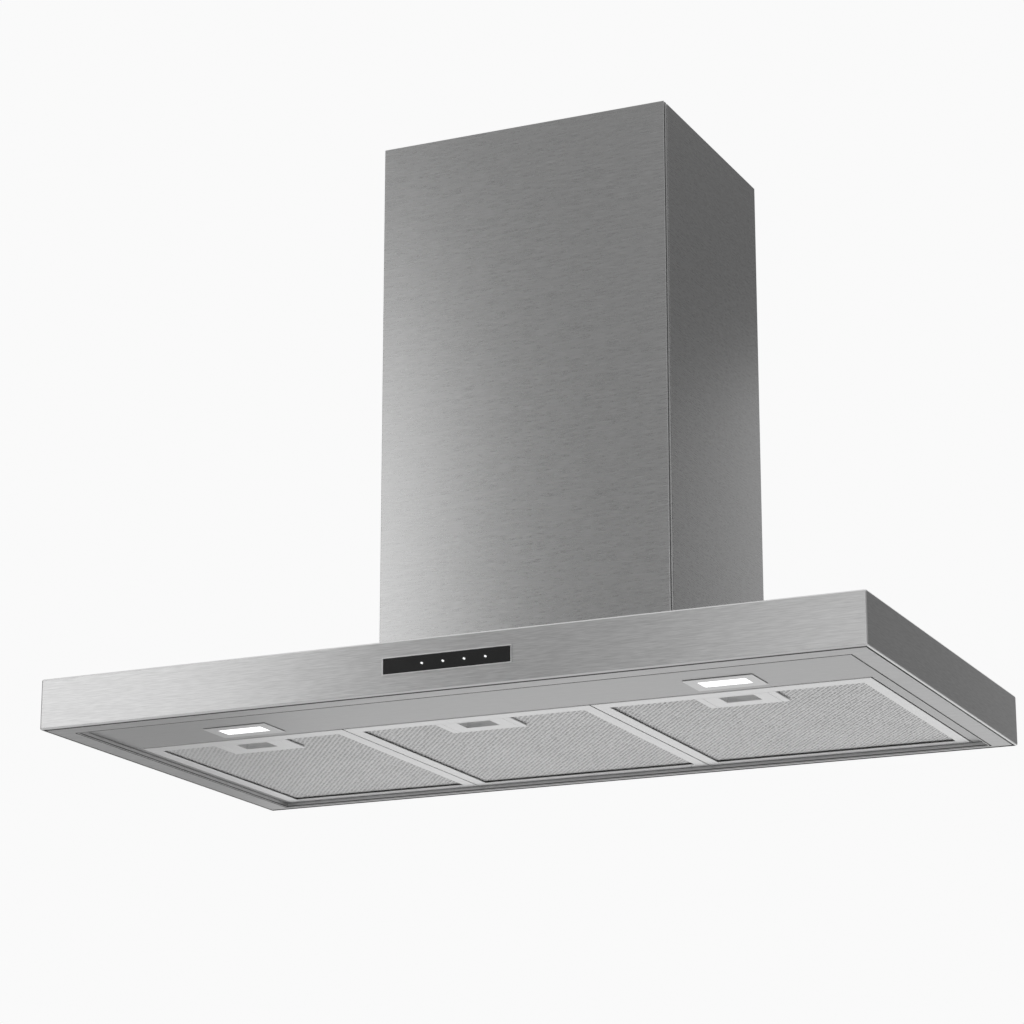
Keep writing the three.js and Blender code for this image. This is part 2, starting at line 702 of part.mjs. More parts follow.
function impeller() {
  const centre = [0, BLOWER_Y, BLOWER_Z];
  const ring = (x) => turned('x', centre, [
    [WHEEL_R - SHROUD, x],
    [WHEEL_R, x],
    [WHEEL_R, x + 3],
    [WHEEL_R - SHROUD, x + 3],
  ]);
  const parts = [ring(-WHEEL_HALF), ring(WHEEL_HALF - 3)];
  parts.push(rod('x', centre, WHEEL_R - 1, [-1.5, 1.5], 36));
  parts.push(rod('x', centre, 12, [-14, 1], 32));
  for (let i = 0; i < BLADES; i += 1) {
    const blade = new THREE.BoxGeometry(2 * WHEEL_HALF - 2, BLADE.thickness, BLADE.depth);
    const place = new THREE.Matrix4().makeTranslation(0, BLOWER_Y, BLOWER_Z);
    place.multiply(new THREE.Matrix4().makeRotationX((i / BLADES) * 2 * Math.PI));
    place.multiply(new THREE.Matrix4().makeTranslation(0, 0, WHEEL_R - 4.8));
    place.multiply(new THREE.Matrix4().makeRotationX(THREE.MathUtils.degToRad(BLADE.turn)));
    parts.push(solid(blade, place));
  }
  const bore = rod('x', centre, BORE_R, [-20, 5], 24);
  return join(parts).subtract(bore);
}

// The profile's pairs are a radius and a distance along the shaft.
function motorCan() {
  const centre = [0, BLOWER_Y, BLOWER_Z];
  const profile = [
    [0, 6],
    [14, 6],
    [14, 10],
    [MOTOR_R - 3, 10],
    [MOTOR_R, 13],
    [MOTOR_R, 62],
    [MOTOR_R - 3, 66],
    [16, 66],
    [16, 70],
    [0, 70],
  ];
  const loop = profile.map(([r, h]) => new THREE.Vector2(r, h));
  const geometry = new THREE.LatheGeometry(loop, 36);
  geometry.applyMatrix4(new THREE.Matrix4().makeRotationZ(-Math.PI / 2));
  geometry.translate(...centre);
  const bore = rod('x', centre, BORE_R, [6 - CUT, SHAFT_X[1] + GAP], 24);
  return solid(geometry).subtract(bore);
}

function motorBracket() {
  const centre = [0, BLOWER_Y, BLOWER_Z];
  const x = [SCROLL_HALF + GAP, SCROLL_HALF + GAP + 2.5];
  const flatRing = (low, high) => turned('x', centre, [
    [low, x[0]],
    [high, x[0]],
    [high, x[1]],
    [low, x[1]],
  ]);
  const arms = box(x, around(BLOWER_Y, 72), around(BLOWER_Z, 5))
    .add(box(x, around(BLOWER_Y, 5), around(BLOWER_Z, 72)));
  const motorHole = rod('x', centre, MOTOR_R + GAP, [x[0] - CUT, x[1] + CUT], 36);
  return join([flatRing(INLET_R + 1, 78), flatRing(MOTOR_R + 0.5, 50), arms]).subtract(motorHole);
}

function inletRing() {
  const x = -SCROLL_HALF - GAP;
  return turned('x', [0, BLOWER_Y, BLOWER_Z], [
    [INLET_R - 1, x],
    [INLET_R - 1, x - 2],
    [INLET_R + 3, x - 8],
    [INLET_R + 10, x - 10],
    [INLET_R + 10, x - 8],
    [INLET_R + 4.5, x - 6.4],
    [INLET_R + 3, x - 3],
    [INLET_R + 10, x - 2],
    [INLET_R + 10, x],
  ]);
}

function blower() {
  const group = new THREE.Group();
  const centre = [0, BLOWER_Y, BLOWER_Z];
  for (const side of [-1, 1]) {
    group.add(piece(`scroll_${sideName(side)}`, scrollHalf(side), GREY_PLASTIC));
  }
  group.add(piece('inlet_ring', inletRing(), GREY_PLASTIC));
  group.add(piece('impeller', impeller(), BLACK_PLASTIC));
  group.add(piece('rotor_shaft', rod('x', centre, SHAFT_R, SHAFT_X, 24), ZINC));
  group.add(piece('motor', motorCan(), ZINC));
  group.add(piece('motor_bracket', motorBracket(), ZINC));
  const can = rod('z', [CAPACITOR.x, CAPACITOR.y, 0], CAPACITOR.r, CAPACITOR.z, 24);
  group.add(piece('capacitor', can, GREY_PLASTIC));
  return group;
}

// ---------------------------------------------------------------- electronics on the housing

const CASE_X = [-142, -22];
const CASE_Y = [-70, -8];
const CASE_TOP = 364;
const CASE_WALL = 2;
const GLAND_Y = -38;
const GLAND_Z = 348;

function electronicsBox() {
  const z = [HOUSING_TOP + GAP, CASE_TOP];
  const tray = box(CASE_X, CASE_Y, z);
  const hollow = box(
    [CASE_X[0] + CASE_WALL, CASE_X[1] - CASE_WALL],
    [CASE_Y[0] + CASE_WALL, CASE_Y[1] - CASE_WALL],
    [z[0] + CASE_WALL, z[1] + CUT],
  );
  return tray.subtract(hollow);
}

function electronicsLid() {
  const z = [CASE_TOP + GAP, CASE_TOP + 2.5];
  const plate = box(CASE_X, CASE_Y, z);
  const inset = CASE_WALL + 2;
  const plug = box(
    [CASE_X[0] + inset, CASE_X[1] - inset],
    [CASE_Y[0] + inset, CASE_Y[1] - inset],
    [CASE_TOP - 3, z[1]],
  );
  return plate.add(plug);
}

// The strain relief for a mains lead, with a blind socket facing +X.
function cableGland() {
  const start = CASE_X[1] + GAP;
  const profile = [
    [0, start], [9, start], [9, start + 5], [7.5, start + 6], [7.5, start + 17], [6, start + 20],
    [4, start + 20], [4, start + 6], [0, start + 6],
  ];
  const loop = profile.map(([r, h]) => new THREE.Vector2(r, h));
  const geometry = new THREE.LatheGeometry(loop, 24);
  geometry.applyMatrix4(new THREE.Matrix4().makeRotationZ(-Math.PI / 2));
  geometry.translate(0, GLAND_Y, GLAND_Z);
  return solid(geometry);
}

function electronics() {
  const group = new THREE.Group();
  group.add(piece('electronics_box', electronicsBox(), GREY_PLASTIC));
  group.add(piece('electronics_lid', electronicsLid(), GREY_PLASTIC));
  group.add(piece('cable_gland', cableGland(), BLACK_PLASTIC));
  return group;
}

// ---------------------------------------------------------------- chimney

const CHIMNEY_HALF = CHIMNEY_W / 2;
const CHIMNEY_Z = [CANOPY_H + GAP, CHIMNEY_TOP];
const WALL_CLEAR = 0.5; // between the chimney's side sheets and the wall
const WALL_FLANGE = 14;

const STRIP_Y = -CHIMNEY_D + SHEET + CORNER_GROOVE;
const SEAM_Y = STRIP_Y + CORNER_STRIP;
const SIDE_Y = SEAM_Y + CORNER_SEAM;

const SEAM_FLOOR = CHIMNEY_HALF - CORNER_DEPTH;

// The front sheet. Behind each edge it steps in for the shadow gap and out again for the strip.
function chimneyFront() {
  const back = -CHIMNEY_D + SHEET;
  const right = [
    [CHIMNEY_HALF, -CHIMNEY_D],
    [CHIMNEY_HALF, back],
    [SEAM_FLOOR, back],
    [SEAM_FLOOR, STRIP_Y],
    [CHIMNEY_HALF, STRIP_Y],
    [CHIMNEY_HALF, SEAM_Y],
    [CHIMNEY_HALF - SHEET, SEAM_Y],
    [CHIMNEY_HALF - SHEET, STRIP_Y + SHEET],
    [SEAM_FLOOR - SHEET, STRIP_Y + SHEET],
    [SEAM_FLOOR - SHEET, back],
  ];
  const left = right.map(([x, y]) => [-x, y]).reverse();
  return slabAlongZ([...right, ...left], CHIMNEY_Z);
}

// A side sheet. Its front edge steps inwards and runs behind the front sheet's strip.
function chimneySide(side) {
  const tongue = STRIP_Y + SHEET + GAP;
  const outline = [
    [SEAM_FLOOR - SHEET, tongue],
    [SEAM_FLOOR, tongue],
    [SEAM_FLOOR, SIDE_Y],
    [CHIMNEY_HALF, SIDE_Y],
    [CHIMNEY_HALF, -WALL_CLEAR],
    [CHIMNEY_HALF - WALL_FLANGE, -WALL_CLEAR],
    [CHIMNEY_HALF - WALL_FLANGE, -WALL_CLEAR - SHEET],
    [CHIMNEY_HALF - SHEET, -WALL_CLEAR - SHEET],
    [CHIMNEY_HALF - SHEET, SIDE_Y + SHEET],
    [SEAM_FLOOR - SHEET, SIDE_Y + SHEET],
  ];
  return slabAlongZ(outline.map(([x, y]) => [side * x, y]), CHIMNEY_Z);
}

const UPPER_HALF = CHIMNEY_HALF - CORNER_DEPTH - SHEET - 0.8;
const UPPER_FRONT = -CHIMNEY_D + 3;
const BRACKET = { z: [640, 672], reach: 150, sheet: 1.5, step: -30, end: -46, holeX: 110 };
const FOOT = { y: [-240, -60], height: 20, width: 12 };

function upperChimney() {
  const z = [UPPER_BOTTOM, CHIMNEY_TOP - 2];
  const sleeve = box(around(0, UPPER_HALF), [UPPER_FRONT, -2.2], z);
  const hollow = box(
    around(0, UPPER_HALF - SHEET),
    [UPPER_FRONT + SHEET, CUT],
    [z[0] - CUT, z[1] + CUT],
  );
  return sleeve.subtract(hollow);
}

// The bracket that holds the upper chimney to the wall, with an arm to each side sheet.
function upperBracket() {
  const { z, reach, sheet, step, end } = BRACKET;
  const tip = UPPER_HALF - SHEET - GAP;
  const bar = box(around(0, reach), [-sheet, 0], z);
  const arms = [-1, 1].flatMap((side) => [
    box(mirrored(side, reach - sheet, reach), [step, 0], z),
    box(mirrored(side, reach - sheet, tip), [step, step + sheet], z),
    box(mirrored(side, tip - sheet, tip), [end, step + sheet], z),
  ]);
  const holes = [-1, 1].map((side) => {
    const centre = [side * BRACKET.holeX, 0, (z[0] + z[1]) / 2];
    return rod('y', centre, HOLE_R, [-sheet - CUT, CUT], 24);
  });
  return holes.reduce((rest, hole) => rest.subtract(hole), join([bar, ...arms]));
}

// An angle on the canopy's top that locates the chimney's side sheet.
function chimneyFoot(side) {
  const edge = CHIMNEY_HALF - SHEET - GAP;
  const bottom = CANOPY_H + GAP;
  const upright = box(mirrored(side, edge - SHEET, edge), FOOT.y, [bottom, bottom + FOOT.height]);
  const foot = box(mirrored(side, edge - FOOT.width, edge), FOOT.y, [bottom, bottom + SHEET]);
  return upright.add(foot);
}

function chimney() {
  const group = new THREE.Group();
  group.add(piece('chimney_front', chimneyFront(), STEEL));
  for (const side of [-1, 1]) {
    group.add(piece(`chimney_side_${sideName(side)}`, chimneySide(side), STEEL));
    group.add(piece(`chimney_foot_${sideName(side)}`, chimneyFoot(side), INNER_STEEL));
  }
  group.add(piece('upper_chimney', upperChimney(), STEEL));
  group.add(piece('upper_bracket', upperBracket(), ZINC));
  return group;
}

// ---------------------------------------------------------------- the whole hood

const hood = new THREE.Group();
for (const section of [canopy, controls, lamps, filters, housing, blower, electronics, chimney]) {
  hood.add(section());
}
hood.position.z = -CANOPY_H / 2;
hood.updateMatrixWorld(true);

const root = new THREE.Group();
root.add(hood);

export default root;
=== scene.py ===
"""A box-shaped cooker hood in brushed stainless steel, finished around its CAD frame. Metres, +Z up."""

import json
import math
import random

import bmesh
import bpy
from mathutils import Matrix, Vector


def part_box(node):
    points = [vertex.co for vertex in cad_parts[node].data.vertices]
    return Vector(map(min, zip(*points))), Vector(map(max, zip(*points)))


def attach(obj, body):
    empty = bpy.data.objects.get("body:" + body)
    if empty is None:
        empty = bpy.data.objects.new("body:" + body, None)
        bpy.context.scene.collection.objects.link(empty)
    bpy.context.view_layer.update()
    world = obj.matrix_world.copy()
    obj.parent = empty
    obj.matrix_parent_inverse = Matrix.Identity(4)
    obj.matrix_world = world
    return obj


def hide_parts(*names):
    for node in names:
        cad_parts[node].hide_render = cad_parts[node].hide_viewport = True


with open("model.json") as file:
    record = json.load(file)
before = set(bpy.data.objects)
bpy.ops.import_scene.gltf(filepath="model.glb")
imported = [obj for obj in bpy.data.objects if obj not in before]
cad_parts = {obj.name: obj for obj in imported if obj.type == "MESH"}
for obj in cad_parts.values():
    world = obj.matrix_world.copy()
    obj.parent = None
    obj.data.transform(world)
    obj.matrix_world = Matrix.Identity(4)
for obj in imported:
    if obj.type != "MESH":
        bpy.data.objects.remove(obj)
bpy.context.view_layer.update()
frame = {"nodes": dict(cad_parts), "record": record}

MM = 0.001
RNG = random.Random(7)

# ---------------------------------------------------------------- camera and studio

CAMERA_AT = (1.33342, -3.21840, -0.71342)
CAMERA_YAW = math.radians(24.603)
CAMERA_PITCH = math.radians(-16.001)
CAMERA_LENS = 111.24
CAMERA_SENSOR = 36
FLOOR_Z = -4.0
FLOOR_HALF = 20.0
FLOOR_TONES = (0.86, 0.90)
FLOOR_MOTTLE = (3, 3, 3)  # patches of tone per metre


def direction(azimuth, elevation):
    """A unit vector. Azimuth 0 is towards the hood's front, -Y, and 90 is towards +X; both in degrees."""
    around, up = math.radians(azimuth), math.radians(elevation)
    return Vector((math.sin(around) * math.cos(up), -math.cos(around) * math.cos(up), math.sin(up)))


def add_camera():
    data = bpy.data.cameras.new("camera")
    data.sensor_width = CAMERA_SENSOR
    data.lens = CAMERA_LENS
    camera = bpy.data.objects.new("camera", data)
    bpy.context.scene.collection.objects.link(camera)
    back = direction(math.degrees(CAMERA_YAW), math.degrees(CAMERA_PITCH))
    camera.location = CAMERA_AT
    camera.rotation_mode = "QUATERNION"
    camera.rotation_quaternion = (-back).to_track_quat("-Z", "Y")
    bpy.context.scene.camera = camera


# ---------------------------------------------------------------- node trees


class Nodes:
    """A node tree with short calls. put() adds a node and joins any socket given as an input to it."""

    def __init__(self, tree):
        self.tree = tree
        self.tree.nodes.clear()

    def put(self, kind, inputs=None, **settings):
        node = self.tree.nodes.new("ShaderNode" + kind)
        for key, value in settings.items():
            setattr(node, key, value)
        for key, value in (inputs or {}).items():
            if isinstance(value, bpy.types.NodeSocket):
                self.tree.links.new(value, node.inputs[key])
            else:
                node.inputs[key].default_value = value
        return node

    def maths(self, operation, *values):
        inputs = dict(enumerate(values))
        return self.put("Math", inputs, operation=operation).outputs[0]

    def scaled(self, vector, factors):
        return self.put("VectorMath", {0: vector, 1: factors}, operation="MULTIPLY").outputs[0]

    def remap(self, value, low, high, start=0.0, end=1.0, shape="LINEAR"):
        inputs = {"Value": value, "From Min": start, "From Max": end, "To Min": low, "To Max": high}
        return self.put("MapRange", inputs, interpolation_type=shape).outputs[0]

    def noise(self, vector, detail=2.0):
        inputs = {"Vector": vector, "Scale": 1.0, "Detail": detail, "Roughness": 0.5}
        return self.put("TexNoise", inputs).outputs[0]

    def blend(self, factor, a, b):
        inputs = {0: factor, 6: a, 7: b}
        return self.put("Mix", inputs, data_type="RGBA").outputs[2]


def grey(value, warmth=0.0):
    return (value * (1 + warmth), value, value * (1 - warmth), 1.0)


# ---------------------------------------------------------------- studio light

BACKGROUND = 0.955
SKY = 0.10
# Wide glows in the sky: azimuth, elevation, the angles of the full and of the last light, and strength.
GLOWS = (
    (0, 20, 20, 110, 0.12),
    (0, 90, 20, 75, 0.55),
    (155, 14, 10, 70, 0.052),
)
# Softboxes, in metres: the middle, width, height, the way they face (1 is towards +Y) and radiance.
SOFTBOXES = {
    "softbox_left": ((-1.785, -2.0, 0.50), 1.7, 1.3, 1, 1.23),
    "softbox_right": ((0.33, -2.0, 0.22), 1.2, 0.76, 1, 0.95),
    "softbox_rear": ((-0.265, 1.5, -0.12), 2.07, 2.2, -1, 0.40),
}


def add_world():
    world = bpy.data.worlds.new("studio")
    bpy.context.scene.world = world
    world.use_nodes = True
    tree = Nodes(world.node_tree)
    towards = tree.put("TexCoord").outputs["Generated"]
    total = SKY
    for azimuth, elevation, full, last, strength in GLOWS:
        centre = tuple(direction(azimuth, elevation))
        cosine = tree.put("VectorMath", {0: towards, 1: centre}, operation="DOT_PRODUCT").outputs["Value"]
        start, end = math.cos(math.radians(last)), math.cos(math.radians(full))
        light = tree.remap(cosine, 0.0, strength, start, end, "SMOOTHERSTEP")
        total = tree.maths("ADD", total, light)
    studio = tree.put("Background", {"Color": grey(1.0), "Strength": total}).outputs[0]
    plain = tree.put("Background", {"Color": grey(BACKGROUND), "Strength": 1.0}).outputs[0]
    seen = tree.put("LightPath").outputs["Is Camera Ray"]
    mixed = tree.put("MixShader", {0: seen, 1: studio, 2: plain}).outputs[0]
    tree.put("OutputWorld", {"Surface": mixed})


def add_softboxes():
    for name, (middle, width, height, facing, radiance) in SOFTBOXES.items():
        data = bpy.data.lights.new(name, "AREA")
        data.shape = "RECTANGLE"
        data.size, data.size_y = width, height
        data.energy = radiance * math.pi * width * height
        light = bpy.data.objects.new(name, data)
        light.location = middle
        light.rotation_mode = "QUATERNION"
        light.rotation_quaternion = Vector((0, facing, 0)).to_track_quat("-Z", "Z")
        light.visible_camera = False
        bpy.context.scene.collection.objects.link(light)


def add_floor():
    mesh = bpy.data.meshes.new("floor")
    corners = [(x * FLOOR_HALF, y * FLOOR_HALF, 0) for x, y in ((-1, -1), (1, -1), (1, 1), (-1, 1))]
    mesh.from_pydata(corners, [], [(0, 1, 2, 3)])
    floor = bpy.data.objects.new("floor", mesh)
    floor.location.z = FLOOR_Z
    bpy.context.scene.collection.objects.link(floor)
    material = bpy.data.materials.new("floor_matt")
    material.use_nodes = True
    tree = Nodes(material.node_tree)
    mottle = tree.noise(tree.scaled(tree.put("TexCoord").outputs["Object"], FLOOR_MOTTLE))
    colour = tree.blend(mottle, *(grey(tone) for tone in FLOOR_TONES))
    shader = tree.put("BsdfPrincipled", {"Base Color": colour, "Roughness": 0.8})
    tree.put("OutputMaterial", {"Surface": shader.outputs[0]})
    mesh.materials.append(material)


# ---------------------------------------------------------------- materials

NOISE_RANGE = (0.3, 0.7)  # where most of a noise texture's values lie
FLAT_FACE = 0.7  # a face counts as flat when its normal's Z is past this

# Brushing: the length and width of its streaks, and the shares of the two grains in the tone.
FINE_GRAIN = (14 * MM, 0.7 * MM)
MEDIUM_GRAIN = (30 * MM, 1.2 * MM)
GRAIN_SHARES = (0.65, 0.35)
ACROSS_GRAIN = {"X": 0.0, "Y": 0.02, "Z": 1.0}  # upright on walls, and along Y on flat faces
SATIN_GRAIN = (20 * MM, 0.9 * MM)

# The scales of two patterns: how many of their units go in a metre.
ZINC_CRYSTALS = (90, 90, 90)
BOARD_TRACKS = (220, 220, 220)

# The filters' expanded metal. Heights are above the lower face of the filter's frame.
MESH_FACE = 2.2 * MM
MESH_BACK = 3.9 * MM
STRAND_PITCH = (6.0 * MM, 7.8 * MM)
STRAND_SHARE = 0.36  # of a diamond that is metal, measured from its edge to its centre
PIT_FLOOR_SHARE = 0.3
PIT_DEPTH = 0.9 * MM
BACK_PIT_DEPTH = 0.6 * MM
# How unevenly it is stamped: where a pit is, its tilt, mouth and depth, and the strands' height.
PIT_STRAY = 0.45 * MM
PIT_TILT = 0.08 * MM
MOUTH_SPREAD = (0.84, 1.08)
DEPTH_SPREAD = (0.72, 1.0)
STRAND_RISE = 0.14 * MM
# Painted shade in its pits: how far from the sheet's middle the shade is full and is gone, and its share of
# the tone.
PIT_SHADE = (0.15 * MM, 0.7 * MM)
PIT_SHADE_TONE = 0.12
HANDLE_COVER = 1.5 * MM  # how far the lattice runs over the handle's plate

# Painted shade in the grooves of the canopy's lower edge. Heights are above that edge.
GROOVE_FROM_EDGE = 2.3 * MM
GROOVE_DARK = (0.1 * MM, 0.4 * MM)  # the heights at which the painted shade sets in and is full
GROOVE_TOP = 1.5 * MM
GROOVE_FADE = 0.1 * MM  # the width of its soft borders
GROOVE_SHADE_TONE = 0.16

# Painted highlights on the folds: the normal's largest part where the highlight is full and where it starts,
# and its tone.
FOLD_TURNS = (0.88, 0.985)
FOLD_HIGHLIGHT_TONE = 0.97
STRIP_FROM = 3.2 * MM  # from the front of the chimney's front sheet to its folded strip
STRIP_SKIN = 0.3 * MM  # how deep the painted highlight goes


class Finish(Nodes):
    """A material with a Principled shader, whose sockets are set by shade()."""

    def __init__(self, name):
        self.material = bpy.data.materials.new(name)
        self.material.use_nodes = True
        super().__init__(self.material.node_tree)
        coordinates = self.put("TexCoord")
        self.place = coordinates.outputs["Object"]
        self.normal = coordinates.outputs["Normal"]

    def speckle(self, size, detail=2.0):
        """Noise whose features are about size across, in metres."""
        return self.noise(self.scaled(self.place, (1 / size,) * 3), detail)

    def streaks(self, length, width):
        """Noise drawn out along the sheet's brushing: level on upright faces, along X on flat ones."""
        along, across = 1 / length, 1 / width
        upright = self.scaled(self.place, (along, along, across))
        flat = self.scaled(self.place, (along, across, across))
        z = self.put("SeparateXYZ", {0: self.normal}).outputs["Z"]
        is_flat = self.maths("GREATER_THAN", self.maths("ABSOLUTE", z), FLAT_FACE)
        vector = self.put("Mix", {0: is_flat, 4: upright, 5: flat}, data_type="VECTOR").outputs[1]
        return self.noise(vector)

    def spread(self, noise, low, high):
        """Carries the usual range of a noise texture to low and high."""
        return self.remap(noise, low, high, *NOISE_RANGE)

    def mixed(self, a, b, shares):
        """Two values added in the given shares."""
        return self.maths("ADD", self.maths("MULTIPLY", a, shares[0]), self.maths("MULTIPLY", b, shares[1]))

    def past(self, value, axis):
        """How far a place lies past a value along one axis."""
        place = self.put("SeparateXYZ", {0: self.place}).outputs["XYZ"[axis]]
        return self.maths("SUBTRACT", place, value)

    def away(self, value, axis):
        """How far a place lies from a value along one axis, on either side."""
        return self.maths("ABSOLUTE", self.past(value, axis))

    def bump(self, height, strength, depth):
        inputs = {"Strength": strength, "Distance": depth, "Height": height}
        return self.put("Bump", inputs).outputs[0]

    def shade(self, **sockets):
        names = {key.replace("_", " "): value for key, value in sockets.items()}
        shader = self.put("BsdfPrincipled", names)
        self.put("OutputMaterial", {"Surface": shader.outputs[0]})
        return self.material


def painted_groove_shade(look, colour, node):
    """Paints shade into the recesses in the lower face of a node, inside its rounded outer edge."""
    low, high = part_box(node)
    clear = []
    for axis in (0, 1):
        off_middle = look.away((low[axis] + high[axis]) / 2, axis)
        edge = (high[axis] - low[axis]) / 2 - GROOVE_FROM_EDGE
        clear.append(look.remap(off_middle, 1.0, 0.0, edge, edge + GROOVE_FADE))
    height = look.past(low.z, 2)
    deep = look.remap(height, 0.0, 1.0, *GROOVE_DARK)
    below_top = look.remap(height, 1.0, 0.0, GROOVE_TOP, GROOVE_TOP + GROOVE_FADE)
    dust_and_shade = look.maths("MULTIPLY", look.maths("MULTIPLY", *clear), look.maths("MULTIPLY", deep, below_top))
    return look.blend(dust_and_shade, colour, grey(GROOVE_SHADE_TONE))


def painted_fold_highlight(look, colour):
    """Paints a highlight on the folds, the only faces that turn away from all three axes."""
    normal = look.put("VectorMath", {0: look.normal}, operation="ABSOLUTE").outputs[0]
    parts = look.put("SeparateXYZ", {0: normal}).outputs
    most = look.maths("MAXIMUM", look.maths("MAXIMUM", parts["X"], parts["Y"]), parts["Z"])
    return look.blend(look.remap(most, 1.0, 0.0, *FOLD_TURNS), colour, grey(FOLD_HIGHLIGHT_TONE))


def painted_strip_highlight(look, colour, node):
    """Paints a highlight on the narrow folded strip that stands behind each edge of a front sheet."""
    low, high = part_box(node)
    behind = look.past(low.y, 1)
    from_front = look.maths("GREATER_THAN", behind, STRIP_FROM)
    before_end = look.maths("LESS_THAN", behind, high.y - low.y)
    off_middle = look.away((low.x + high.x) / 2, 0)
    outside = look.maths("GREATER_THAN", off_middle, (high.x - low.x) / 2 - STRIP_SKIN)
    mask = look.maths("MULTIPLY", outside, look.maths("MULTIPLY", from_front, before_end))
    return look.blend(mask, colour, grey(FOLD_HIGHLIGHT_TONE))


def brushed_steel(name, tone, roughness, contrast, grooved=None, stripped=None):
    """Brushed stainless steel with painted highlights on its folds. Painted shade darkens the lower grooves
    of the node named by grooved, and painted highlights lighten the folded strips of the node named by
    stripped."""
    look = Finish(name)
    grain = look.mixed(look.streaks(*FINE_GRAIN), look.streaks(*MEDIUM_GRAIN), GRAIN_SHARES)
    level = look.mixed(grain, look.speckle(350 * MM, 1.0), (0.9, 0.1))
    dark, light = grey(tone * (1 - contrast)), grey(tone * (1 + contrast))
    colour = painted_fold_highlight(look, look.blend(look.spread(level, 0.0, 1.0), dark, light))
    if grooved:
        colour = painted_groove_shade(look, colour, grooved)
    if stripped:
        colour = painted_strip_highlight(look, colour, stripped)
    return look.shade(
        Base_Color=colour,
        Metallic=1.0,
        Roughness=look.spread(grain, roughness - 0.02, roughness + 0.02),
        Anisotropic=0.6,
        Tangent=look.put("CombineXYZ", ACROSS_GRAIN).outputs[0],
        Normal=look.bump(grain, 0.015, 0.05 * MM),
    )


def satin_aluminium(name, tone, roughness):
    look = Finish(name)
    grain = look.streaks(*SATIN_GRAIN)
    cloud = look.speckle(60 * MM)
    level = look.mixed(grain, cloud, (0.7, 0.3))
    colour = look.blend(look.spread(level, 0.0, 1.0), grey(tone * 0.95), grey(tone * 1.04))
    return look.shade(
        Base_Color=colour,
        Metallic=1.0,
        Roughness=look.spread(level, roughness - 0.05, roughness + 0.05),
        Normal=look.bump(grain, 0.08, 0.05 * MM),
    )


def expanded_metal(name, tone, roughness):
    """Strands with painted shade in their pits: the tone falls towards the middle of the sheet's thickness.
    """
    look = Finish(name)
    strand = look.speckle(4 * MM, 1.0)
    patch = look.speckle(70 * MM)
    level = look.mixed(strand, patch, (0.6, 0.4))
    metal = look.blend(look.spread(level, 0.0, 1.0), grey(tone * 0.92), grey(tone * 1.06))
    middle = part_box("filter_1_frame")[0].z + (MESH_FACE + MESH_BACK) / 2
    surface = look.remap(look.away(middle, 2), 0.0, 1.0, *PIT_SHADE)
    colour = look.blend(surface, grey(tone * PIT_SHADE_TONE), metal)
    return look.shade(
        Base_Color=colour,
        Metallic=1.0,
        Roughness=look.spread(strand, roughness - 0.08, roughness + 0.08),
        Normal=look.bump(look.speckle(0.8 * MM, 1.0), 0.15, 0.08 * MM),
    )


def galvanised(name, tone, roughness):
    """Zinc-coated sheet with its flat crystals."""
    look = Finish(name)
    crystals = look.put("TexVoronoi", {"Vector": look.scaled(look.place, ZINC_CRYSTALS), "Scale": 1.0})
    shade = look.put("SeparateXYZ", {0: crystals.outputs["Color"]}).outputs[0]
    stain = look.speckle(120 * MM, 3.0)
    level = look.mixed(shade, stain, (0.6, 0.4))
    colour = look.blend(level, grey(tone * 0.86, -0.012), grey(tone * 1.1, -0.004))
    return look.shade(
        Base_Color=colour,
        Metallic=1.0,
        Roughness=look.remap(level, roughness - 0.07, roughness + 0.09),
        Normal=look.bump(shade, 0.1, 0.1 * MM),
    )


def zinc_plate(name, tone, roughness):
    look = Finish(name)
    cloud = look.speckle(15 * MM, 3.0)
    grain = look.speckle(0.9 * MM, 1.0)
    colour = look.blend(cloud, grey(tone * 0.9, -0.01), grey(tone * 1.08, 0.012))
    return look.shade(
        Base_Color=colour,
        Metallic=1.0,
        Roughness=look.remap(cloud, roughness - 0.08, roughness + 0.1),
        Normal=look.bump(grain, 0.12, 0.06 * MM),
    )


def moulded_plastic(name, tone, roughness, warmth=0.0):
    """Moulded plastic with a fine spark-eroded grain."""
    look = Finish(name)
    grain = look.speckle(0.6 * MM)
    cloud = look.speckle(30 * MM)
    colour = look.blend(cloud, grey(tone * 0.88, warmth), grey(tone * 1.12, warmth))
    return look.shade(
        Base_Color=colour,
        Roughness=look.spread(grain, roughness - 0.08, roughness + 0.08),
        Normal=look.bump(grain, 0.25, 0.12 * MM),
    )


def black_glass(name):
    look = Finish(name)
    smear = look.speckle(20 * MM, 3.0)
    dust_and_shade = look.remap(look.speckle(1.2 * MM, 1.0), 0.0, 1.0, 0.66, 0.8)
    colour = look.blend(dust_and_shade, grey(0.012), grey(0.03))
    return look.shade(
        Base_Color=colour,
        Roughness=look.remap(smear, 0.1, 0.2),
        Coat_Weight=0.6,
        Coat_Roughness=0.05,
    )


def lit_white(name, strength, rib_scale):
    """A lit diffuser. Its prism ribs dim the light slightly between them."""
    look = Finish(name)
    rib = look.put("TexWave", {"Vector": look.place, "Scale": rib_scale, "Distortion": 0.0}).outputs[1]
    cloud = look.speckle(10 * MM, 1.0)
    level = look.mixed(rib, cloud, (0.5, 0.5))
    light = look.blend(level, (0.95, 0.955, 0.96, 1), (1, 1, 1, 1))
    return look.shade(
        Base_Color=light,
        Roughness=look.remap(cloud, 0.25, 0.4),
        Emission_Color=light,
        Emission_Strength=strength,
    )


